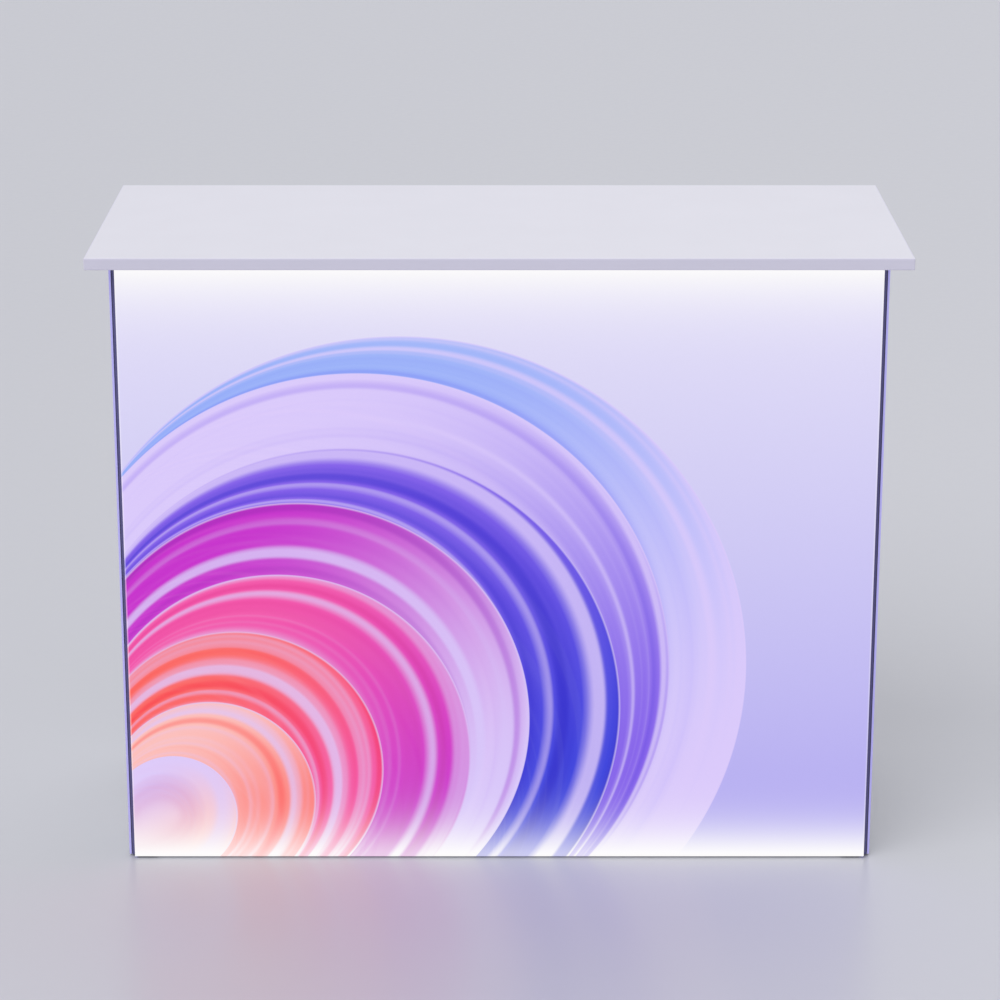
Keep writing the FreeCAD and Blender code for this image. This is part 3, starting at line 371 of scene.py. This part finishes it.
def dress_nodes():
    for material, names in NODE_MATERIALS.items():
        for name in names:
            mesh = frame["nodes"][name].data
            mesh.materials.clear()
            mesh.materials.append(MATERIALS[material])


# Meshes and pieces

SHARP_ANGLE = math.radians(38)


def circle(radius, steps):
    """Places on a circle, in order round it."""
    turns = [2 * math.pi * n / steps for n in range(steps)]
    return [(radius * math.cos(turn), radius * math.sin(turn)) for turn in turns]


def bridge(mesh, first, second):
    """Faces between two closed rows of corners."""
    for n, vert in enumerate(first):
        following = (n + 1) % len(first)
        mesh.faces.new((vert, first[following], second[following], second[n]))


def join_meshes(name, meshes):
    """One mesh of several closed ones, smooth but for its sharp edges."""
    whole = bmesh.new()
    data = bpy.data.meshes.new(name)
    for mesh in meshes:
        mesh.to_mesh(data)
        mesh.free()
        whole.from_mesh(data)
    for face in whole.faces:
        face.smooth = True
    for edge in whole.edges:
        edge.smooth = edge.calc_face_angle(0.0) < SHARP_ANGLE
    whole.to_mesh(data)
    whole.free()
    return data


def add_piece(name, data, material, body):
    piece = bpy.data.objects.new(name, data)
    bpy.context.scene.collection.objects.link(piece)
    data.materials.append(material)
    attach(piece, body)
    return piece


# Shape of the fabric front

FABRIC_LOW, FABRIC_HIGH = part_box("graphic_fabric")
FABRIC_FRONT = FABRIC_LOW[1]
FABRIC_BOTTOM = FABRIC_LOW[2]
FABRIC_TOP = FABRIC_HIGH[2]
ROLL = 0.0016
ROLL_STEPS = 5
FLAT_HALF = FABRIC_HIGH[0] - ROLL
SIDE_RETURN = 0.022
END_RETURN = FABRIC_HIGH[1] - FABRIC_FRONT
END_RETURN_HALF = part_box("reflector_panel")[1][0]
FACE_COLUMNS = 44
FACE_ROWS = 36
FABRIC_SLACK = 0.0001


def spread(low, high, steps):
    """Places from low to high, evenly spaced."""
    return [low + (high - low) * n / steps for n in range(steps + 1)]


def edge_curve(depth):
    """Offsets (along the face, to the back) from the start of a rolled edge to the end of its return."""
    curve = []
    for step in range(1, ROLL_STEPS + 1):
        angle = math.pi / 2 * step / ROLL_STEPS
        curve.append((ROLL * math.sin(angle), ROLL * (1 - math.cos(angle))))
    curve.append((ROLL, depth / 2))
    curve.append((ROLL, depth))
    return curve


def profile(flat_places, depth):
    """Places along the face and how far each lies behind it, with a rolled edge at both ends."""
    curve = edge_curve(depth)
    before = [(flat_places[0] - along, back) for along, back in reversed(curve)]
    after = [(flat_places[-1] + along, back) for along, back in curve]
    return before + [(place, 0.0) for place in flat_places] + after


def fabric_mesh():
    """Taut face whose edges roll back round the noses of the posts and rails, notched at the corners."""
    inner = spread(-END_RETURN_HALF, END_RETURN_HALF, FACE_COLUMNS)
    columns = profile([-FLAT_HALF] + inner + [FLAT_HALF], SIDE_RETURN)
    rows = profile(spread(FABRIC_BOTTOM + ROLL, FABRIC_TOP - ROLL, FACE_ROWS), END_RETURN)
    mesh = bmesh.new()
    grid = [
        [mesh.verts.new((x, FABRIC_FRONT + side_back + end_back, z)) for x, side_back in columns]
        for z, end_back in rows
    ]
    for (_, first_back), (_, second_back), lower, upper in zip(rows, rows[1:], grid, grid[1:]):
        in_return = max(first_back, second_back) > ROLL + FABRIC_SLACK
        for a, b, c, d in zip(lower, lower[1:], upper[1:], upper):
            beside_rail = max(abs(a.co.x), abs(b.co.x)) > END_RETURN_HALF + FABRIC_SLACK
            if not (in_return and beside_rail):
                mesh.faces.new((a, b, c, d)).smooth = True
    loose = [vert for vert in mesh.verts if not vert.link_faces]
    bmesh.ops.delete(mesh, geom=loose, context="VERTS")
    data = bpy.data.meshes.new("fabric_front")
    mesh.to_mesh(data)
    mesh.free()
    return data


# Print on the fabric: nested satin crescents that meet at one point, on a lavender ground

LAVENDER_TOP = shade(229, 225, 248)
LAVENDER_BOTTOM = shade(176, 167, 241)
CORAL = shade(255, 104, 92)
PINK = shade(247, 82, 168)
MAGENTA = shade(204, 34, 204)
VIOLET = shade(128, 88, 234)
BLUE = shade(40, 58, 220)
SKY = shade(150, 176, 250)
MIST = shade(222, 204, 252)
PEACH = shade(255, 196, 190)

# From the largest to the smallest: radius, turn about the meeting point in degrees, and the colours at the
# upper left and at the lower right end of the sweep
CRESCENTS = [
    (0.540, 34, SKY, MIST),
    (0.485, 38, MIST, VIOLET),
    (0.430, 33, VIOLET, BLUE),
    (0.360, 37, MAGENTA, MIST),
    (0.300, 32, PINK, MAGENTA),
    (0.230, 36, CORAL, PINK),
    (0.165, 30, PEACH, CORAL),
    (0.100, 34, MIST, PEACH),
]
INNERMOST_RIM = (0.0, 0.0)
MEETING = (-0.60, 0.02)
CRESCENT_EDGE = 0.001
CRESCENT_COVER = 0.96
LEAST_WIDTH = 0.002
SWEEP_SHARE = 0.9
RIM_WIDTH = 0.004
RIM_LIGHT = 0.75

FOLDS = 3.2
FOLD_LEAN = 0.5
FOLD_DETAIL = 1.6
FOLD_SEED = 7.3
SHEEN_SPAN = (0.48, 0.72)
SHEEN_LIGHT = 0.75
SHADOW_SPAN = (0.26, 0.5)
SHADOW_DEPTH = 0.7


def from_rim(paint, flat, radius, turn):
    """Distance inwards from the rim of a circle through the meeting point, and the circle's centre."""
    angle = math.radians(turn)
    centre = (MEETING[0] + radius * math.cos(angle), 0.0, MEETING[1] + radius * math.sin(angle))
    reach = paint.vector("DISTANCE", flat, centre, "Value")
    return paint.math("SUBTRACT", radius, reach), centre


def sweep_along(paint, flat, centre, radius, turn):
    """How far up and left a point lies along the sweep of a crescent, from 0 to 1."""
    angle = math.radians(turn) + math.pi / 2
    way = (math.cos(angle), 0.0, math.sin(angle))
    from_centre = paint.vector("SUBTRACT", flat, centre, "Vector")
    along = paint.vector("DOT_PRODUCT", from_centre, way, "Value")
    reach = SWEEP_SHARE * radius
    return paint.between(along, 0.0, 1.0, -reach, reach, smooth=True)


def satin_folds(paint, share, sweep, seed):
    """Waves across the band between two rims, which lean along its sweep."""
    across = paint.math("MULTIPLY", share, FOLDS)
    leaning = paint.math("ADD", across, paint.math("MULTIPLY", sweep, FOLD_LEAN))
    inputs = {"W": paint.math("ADD", leaning, seed), "Scale": 1.0, "Detail": FOLD_DETAIL}
    return paint.node("TexNoise", inputs, noise_dimensions="1D").outputs["Fac"]


def crescent_layer(paint, flat, under, crescent, next_rim, seed):
    """One crescent over what is under it, with satin folds that run between its rim and the next one."""
    radius, turn, upper, lower = crescent
    inwards, centre = from_rim(paint, flat, radius, turn)
    next_inwards, _ = from_rim(paint, flat, *next_rim)
    width = paint.math("MAXIMUM", paint.math("SUBTRACT", inwards, next_inwards), LEAST_WIDTH)
    sweep = sweep_along(paint, flat, centre, radius, turn)
    folds = satin_folds(paint, paint.math("DIVIDE", inwards, width), sweep, seed)
    sheen = paint.between(folds, 0.0, SHEEN_LIGHT, *SHEEN_SPAN, smooth=True)
    shadow = paint.between(folds, SHADOW_DEPTH, 0.0, *SHADOW_SPAN, smooth=True)
    rim = paint.between(inwards, RIM_LIGHT, 0.0, 0.0, RIM_WIDTH, smooth=True)
    colour = paint.mix(sweep, lower, upper)
    colour = paint.mix(sheen, colour, MIST)
    colour = paint.mix(shadow, colour, paint.mix(0.5, upper, lower), "MULTIPLY")
    colour = paint.mix(rim, colour, MIST)
    cover = paint.between(inwards, 0.0, CRESCENT_COVER, -CRESCENT_EDGE, CRESCENT_EDGE, smooth=True)
    return paint.mix(cover, under, colour)


def print_design(paint, flat, up):
    """The crescents over a lavender ground that deepens downwards."""
    height = paint.between(up, 0.0, 1.0, FABRIC_BOTTOM, FABRIC_TOP)
    design = paint.mix(height, LAVENDER_BOTTOM, LAVENDER_TOP)
    next_rims = [crescent[:2] for crescent in CRESCENTS[1:]] + [INNERMOST_RIM]
    for number, (crescent, next_rim) in enumerate(zip(CRESCENTS, next_rims)):
        design = crescent_layer(paint, flat, design, crescent, next_rim, FOLD_SEED * number)
    return design


# Fabric with light behind it

LIT_WHITE = shade(249, 248, 247)
DIM_WHITE = shade(64, 64, 66)
RETURN_WHITE = shade(222, 221, 228)
RETURN_DIMMING = 0.85
PRINT_DIMMING = 0.72
GLOW_DIMMING = 0.2
INK_SPAN = (0.6, 0.95)
INK_HOLD = 0.42
# Painted highlight along the rolled side edges of the fabric
SIDE_PAINTED_HIGHLIGHT = 0.28
TOP_REACH = 0.055
TOP_POWER = 1.3
BOTTOM_REACH = 0.052
BOTTOM_POWER = 1.5
FABRIC_ROUGHNESS = 0.75
FABRIC_SHEEN = 0.08
THREAD_PITCH = 0.0006
THREAD_SHADE = 0.06
THREAD_RELIEF = 0.25
THREAD_DEPTH = 0.0002


def edge_light(paint, distance, reach, power):
    """How far the light of a row of lamps has faded, from 0 at the rail to 1."""
    share = paint.math("DIVIDE", paint.math("MAXIMUM", distance, 0.0), reach)
    faded = paint.math("MULTIPLY", paint.math("POWER", share, power), -1.0)
    return paint.math("SUBTRACT", 1.0, paint.math("EXPONENT", faded))


def lamp_fade(paint, up):
    """How far the light of both rows of lamps has faded."""
    from_top = edge_light(paint, paint.math("SUBTRACT", FABRIC_TOP, up), TOP_REACH, TOP_POWER)
    from_bottom = edge_light(paint, paint.math("SUBTRACT", up, FABRIC_BOTTOM), BOTTOM_REACH, BOTTOM_POWER)
    return paint.math("MULTIPLY", from_top, from_bottom)


def plain_weave(paint, across, up):
    """Height of the crossing threads, from -1 to 1."""
    turn = 2 * math.pi / THREAD_PITCH
    weft = paint.math("SINE", paint.math("MULTIPLY", up, turn))
    warp = paint.math("SINE", paint.math("MULTIPLY", across, turn))
    return paint.math("MULTIPLY", weft, warp)


def lit_print(paint, design):
    """The print right beside the lamps: white, but for the light that strong ink holds back."""
    saturation = paint.node("SeparateColor", {0: design}, mode="HSV").outputs[1]
    held_back = paint.between(saturation, 0.0, INK_HOLD, *INK_SPAN)
    return paint.mix(held_back, LIT_WHITE, design)


def printed_fabric():
    """Printed stretch fabric with light behind it, brightest beside the lamps at its top and bottom."""
    paint = Paint("printed_fabric", LAVENDER_TOP, FABRIC_ROUGHNESS)
    across, back, up = paint.axes()
    flat = paint.node("CombineXYZ", {0: across, 2: up}).outputs[0]
    away = lamp_fade(paint, up)
    weave = plain_weave(paint, across, up)
    in_return = paint.between(back, 0.0, 1.0, FABRIC_FRONT, FABRIC_FRONT + 2 * ROLL, smooth=True)
    threads = paint.between(weave, 0.0, THREAD_SHADE, -1.0, 1.0)
    design = paint.mix(threads, print_design(paint, flat, up), BLACK)

    seen = paint.mix(away, DIM_WHITE, paint.mix(PRINT_DIMMING, design, BLACK))
    paint.set("Base Color", paint.mix(in_return, seen, RETURN_WHITE))

    # Painted highlight: the emission turns whiter along the rolled side edges, as light catching them
    from_middle = paint.math("ABSOLUTE", across)
    side_highlight = paint.between(from_middle, 0.0, SIDE_PAINTED_HIGHLIGHT, FLAT_HALF - ROLL / 2, FLAT_HALF, smooth=True)
    dimmed = paint.mix(GLOW_DIMMING, design, BLACK)
    glow = paint.mix(away, lit_print(paint, design), dimmed)
    glow = paint.mix(side_highlight, glow, LIT_WHITE)
    unlit = paint.math("MULTIPLY", in_return, RETURN_DIMMING)
    paint.set("Emission Color", paint.mix(unlit, glow, BLACK))
    paint.set("Emission Strength", 1.0)

    paint.set("Sheen Weight", FABRIC_SHEEN)
    paint.bump(weave, THREAD_RELIEF, THREAD_DEPTH)
    return paint.material


def fabric_front():
    data = fabric_mesh()
    piece = add_piece("fabric_front", data, printed_fabric(), "front_lightbox")
    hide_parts("graphic_fabric")


# Screws with a cross recess

WELD = 1e-6
AXIS_SHARE = 0.1
RIM_SHARE = 0.98
HEAD_SIDES = 28
# Rise and radius of a head, from its seat to its top, as shares of its height and radius
HEAD_STEPS = ((0.0, 1.0), (0.4, 1.0), (0.66, 0.95), (0.86, 0.84), (1.0, 0.7))
RECESS_REACH = 0.58
RECESS_HALF_WIDTH = 0.15
RECESS_DEPTH = 0.62
RECESS_TAPER = 0.72


def solids_of(node):
    """The separate solids of a CAD node, each as a list of its corners."""
    mesh = bmesh.new()
    mesh.from_mesh(frame["nodes"][node].data)
    bmesh.ops.remove_doubles(mesh, verts=mesh.verts, dist=WELD)
    mesh.verts.index_update()
    seen = set()
    solids = []
    for start in mesh.verts:
        if start.index in seen:
            continue
        seen.add(start.index)
        reached = [start]
        for vert in reached:
            for edge in vert.link_edges:
                other = edge.other_vert(vert)
                if other.index not in seen:
                    seen.add(other.index)
                    reached.append(other)
        solids.append([vert.co.copy() for vert in reached])
    mesh.free()
    return solids


def screw_sizes(corners):
    """Seat, way out, radii of head and shank, and lengths of a screw, from the corners of its CAD solid."""
    low = [min(corner[axis] for corner in corners) for axis in range(3)]
    high = [max(corner[axis] for corner in corners) for axis in range(3)]
    along = max(range(3), key=lambda axis: high[axis] - low[axis])
    middle = Vector([(a + b) / 2 for a, b in zip(low, high)])

    def radius(corner):
        return math.hypot(*[corner[axis] - middle[axis] for axis in range(3) if axis != along])

    head = max(radius(corner) for corner in corners)
    shank = min(radius(corner) for corner in corners if radius(corner) > AXIS_SHARE * head)
    rim = [corner[along] for corner in corners if radius(corner) > RIM_SHARE * head]
    to_high = sum(rim) / len(rim) > middle[along]
    seat = middle.copy()
    seat[along] = min(rim) if to_high else max(rim)
    top = high[along] if to_high else low[along]
    tip = low[along] if to_high else high[along]
    out = Vector((0.0, 0.0, 0.0))
    out[along] = 1.0 if to_high else -1.0
    return seat, out, head, shank, abs(top - seat[along]), abs(tip - seat[along])


def ring(mesh, radius, height):
    return [mesh.verts.new((x, y, height)) for x, y in circle(radius, HEAD_SIDES)]


def cross(mesh, reach, half_width, height):
    """The twelve corners of a cross, in order round it."""
    corners = []
    for quarter in range(4):
        turn = Matrix.Rotation(quarter * math.pi / 2, 3, "Z")
        for x, y in ((reach, -half_width), (reach, half_width), (half_width, half_width)):
            corners.append(mesh.verts.new(turn @ Vector((x, y, height))))
    return corners


def loop_edges(mesh, corners):
    pairs = zip(corners, corners[1:] + corners[:1])
    return [mesh.edges.get(pair) or mesh.edges.new(pair) for pair in pairs]


def screw(sizes):
    """Pan-head screw with a tapered cross recess, in place."""
    seat, out, head, shank, height, length = sizes
    mesh = bmesh.new()
    rings = [ring(mesh, shank, -length), ring(mesh, shank, 0.0)]
    rings += [ring(mesh, head * share, height * rise) for rise, share in HEAD_STEPS]
    mesh.faces.new(rings[0])
    for lower, upper in zip(rings, rings[1:]):
        bridge(mesh, lower, upper)
    reach = head * RECESS_REACH
    half_width = head * RECESS_HALF_WIDTH
    mouth = cross(mesh, reach, half_width, height)
    edges = loop_edges(mesh, rings[-1]) + loop_edges(mesh, mouth)
    bmesh.ops.triangle_fill(mesh, edges=edges, use_beauty=True)
    bottom = cross(mesh, reach * RECESS_TAPER, half_width * RECESS_TAPER, height * (1 - RECESS_DEPTH))
    bridge(mesh, mouth, bottom)
    mesh.faces.new(bottom)
    bmesh.ops.recalc_face_normals(mesh, faces=mesh.faces)
    turn = Vector((0.0, 0.0, 1.0)).rotation_difference(out).to_matrix().to_4x4()
    mesh.transform(Matrix.Translation(seat) @ turn)
    return mesh


def recessed_screws(node, body):
    name = f"{node}_recessed"
    data = join_meshes(name, [screw(screw_sizes(corners)) for corners in solids_of(node)])
    piece = add_piece(name, data, MATERIALS["zinc_steel"], body)
    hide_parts(node)


# Off and on marks of the rocker, which rests tilted by half of its range

ROCKER_JOINT = next(joint for joint in frame["joints"] if joint["name"] == "rocker_tilt")
ROCKER_PIVOT = ROCKER_JOINT["pos_m"]
ROCKER_TILT = -math.radians(sum(ROCKER_JOINT["range_deg"]) / 2)
ROCKER_CROWN = 0.0046
ROCKER_SLOPE = 0.152
MARK_RISE = 0.00012
MARK_SINK = 0.0002
MARK_PLACE = 0.0046
BAR_WIDTH = 0.0007
BAR_LENGTH = 0.0034
RING_RADII = (0.0011, 0.0017)
RING_STEPS = 32


def raised_mark(loops):
    """A thin raised mark on the rocker's valley face: a patch inside one outline, or a ring between two."""
    mesh = bmesh.new()
    levels = []
    for out in (-MARK_SINK, MARK_RISE):
        level = []
        for loop in loops:
            spots = [(x, ROCKER_CROWN + ROCKER_SLOPE * abs(z) + out, z) for x, z in loop]
            level.append([mesh.verts.new(spot) for spot in spots])
        levels.append(level)
    for low, high in zip(*levels):
        bridge(mesh, low, high)
    for level in levels:
        if len(level) > 1:
            bridge(mesh, level[0], level[1])
        else:
            mesh.faces.new(level[0])
    bmesh.ops.recalc_face_normals(mesh, faces=mesh.faces)
    mesh.transform(Matrix.Translation(ROCKER_PIVOT) @ Matrix.Rotation(ROCKER_TILT, 4, "X"))
    return mesh


def rocker_marks():
    half_width = BAR_WIDTH / 2
    low = MARK_PLACE - BAR_LENGTH / 2
    high = MARK_PLACE + BAR_LENGTH / 2
    bar = [(-half_width, low), (half_width, low), (half_width, high), (-half_width, high)]
    rims = [[(x, z - MARK_PLACE) for x, z in circle(radius, RING_STEPS)] for radius in RING_RADII]
    data = join_meshes("rocker_marks", [raised_mark([bar]), raised_mark(rims)])
    add_piece("rocker_marks", data, MATERIALS["mark_white"], "rocker")


# Floor and light

FLOOR = shade(200, 201, 207)
FLOOR_ROUGHNESS = 0.3
FLOOR_GLOSS = (0.26, 0.36)
FLOOR_GRAIN = 40.0
FLOOR_HALF = 30.0
BACKDROP = shade(202, 203, 210)
STUDIO_WHITE = shade(246, 246, 250)
STUDIO_STRENGTH = 0.62
KEY_PLACE = (-3.0, -4.0, 6.0)
KEY_SPREAD = math.radians(50)
KEY_STRENGTH = 1.1
FILL_PLACE = (0.8, 4.4, 5.2)
FILL_SPREAD = math.radians(60)
FILL_STRENGTH = 0.5


def floor():
    paint = Paint("pale_floor", FLOOR, FLOOR_ROUGHNESS)
    fine = paint.noise(paint.place(), FLOOR_GRAIN)
    paint.set("Roughness", paint.between(fine, *FLOOR_GLOSS))
    data = bpy.data.meshes.new("floor")
    corners = [(FLOOR_HALF * x, FLOOR_HALF * y, 0.0) for x, y in ((-1, -1), (1, -1), (1, 1), (-1, 1))]
    data.from_pydata(corners, [], [(0, 1, 2, 3)])
    data.materials.append(paint.material)
    ground = bpy.data.objects.new("floor", data)
    bpy.context.scene.collection.objects.link(ground)


def soft_sun(name, place, spread_angle, strength):
    """Even light from the side of the sky where place is, as from a wide soft box far away."""
    lamp = bpy.data.lights.new(name, "SUN")
    lamp.angle = spread_angle
    lamp.energy = strength
    light = bpy.data.objects.new(name, lamp)
    light.location = place
    light.rotation_euler = (-light.location).to_track_quat("-Z", "Y").to_euler()
    bpy.context.scene.collection.objects.link(light)


def studio():
    """White light from all round, with a pale backdrop for what the camera, metal and glass see."""
    world = bpy.data.worlds.new("studio")
    world.use_nodes = True
    tree = world.node_tree
    sky = tree.nodes["Background"]
    sky.inputs["Color"].default_value = STUDIO_WHITE
    sky.inputs["Strength"].default_value = STUDIO_STRENGTH
    backdrop = tree.nodes.new("ShaderNodeBackground")
    backdrop.inputs["Color"].default_value = BACKDROP
    rays = tree.nodes.new("ShaderNodeLightPath")
    seen = rays.outputs["Is Camera Ray"]
    for kind in ("Is Glossy Ray", "Is Transmission Ray"):
        either = tree.nodes.new("ShaderNodeMath")
        either.operation = "MAXIMUM"
        tree.links.new(seen, either.inputs[0])
        tree.links.new(rays.outputs[kind], either.inputs[1])
        seen = either.outputs[0]
    choice = tree.nodes.new("ShaderNodeMixShader")
    tree.links.new(seen, choice.inputs[0])
    tree.links.new(sky.outputs[0], choice.inputs[1])
    tree.links.new(backdrop.outputs[0], choice.inputs[2])
    tree.links.new(choice.outputs[0], tree.nodes["World Output"].inputs["Surface"])
    bpy.context.scene.world = world
    soft_sun("key", KEY_PLACE, KEY_SPREAD, KEY_STRENGTH)
    soft_sun("fill", FILL_PLACE, FILL_SPREAD, FILL_STRENGTH)


# Camera at the photograph's place

CAMERA_PLACE = (0.001, -5.025, 2.092)
CAMERA_PITCH = math.radians(17.306)
CAMERA_LENS = 116.7
CAMERA_SENSOR = 36.0


def camera():
    data = bpy.data.cameras.new("camera")
    data.sensor_width = CAMERA_SENSOR
    data.lens = CAMERA_LENS
    view = bpy.data.objects.new("camera", data)
    view.location = CAMERA_PLACE
    view.rotation_euler = (math.pi / 2 - CAMERA_PITCH, 0.0, 0.0)
    bpy.context.scene.collection.objects.link(view)
    bpy.context.scene.camera = view


dress_nodes()
fabric_front()
recessed_screws("frame_bracket_screws", "front_lightbox")
recessed_screws("rear_cover_screws", "front_lightbox")
recessed_screws("rear_bracket_screws", "rear_frame")
rocker_marks()
floor()
studio()
camera()
bpy.context.scene.view_settings.view_transform = "Standard"
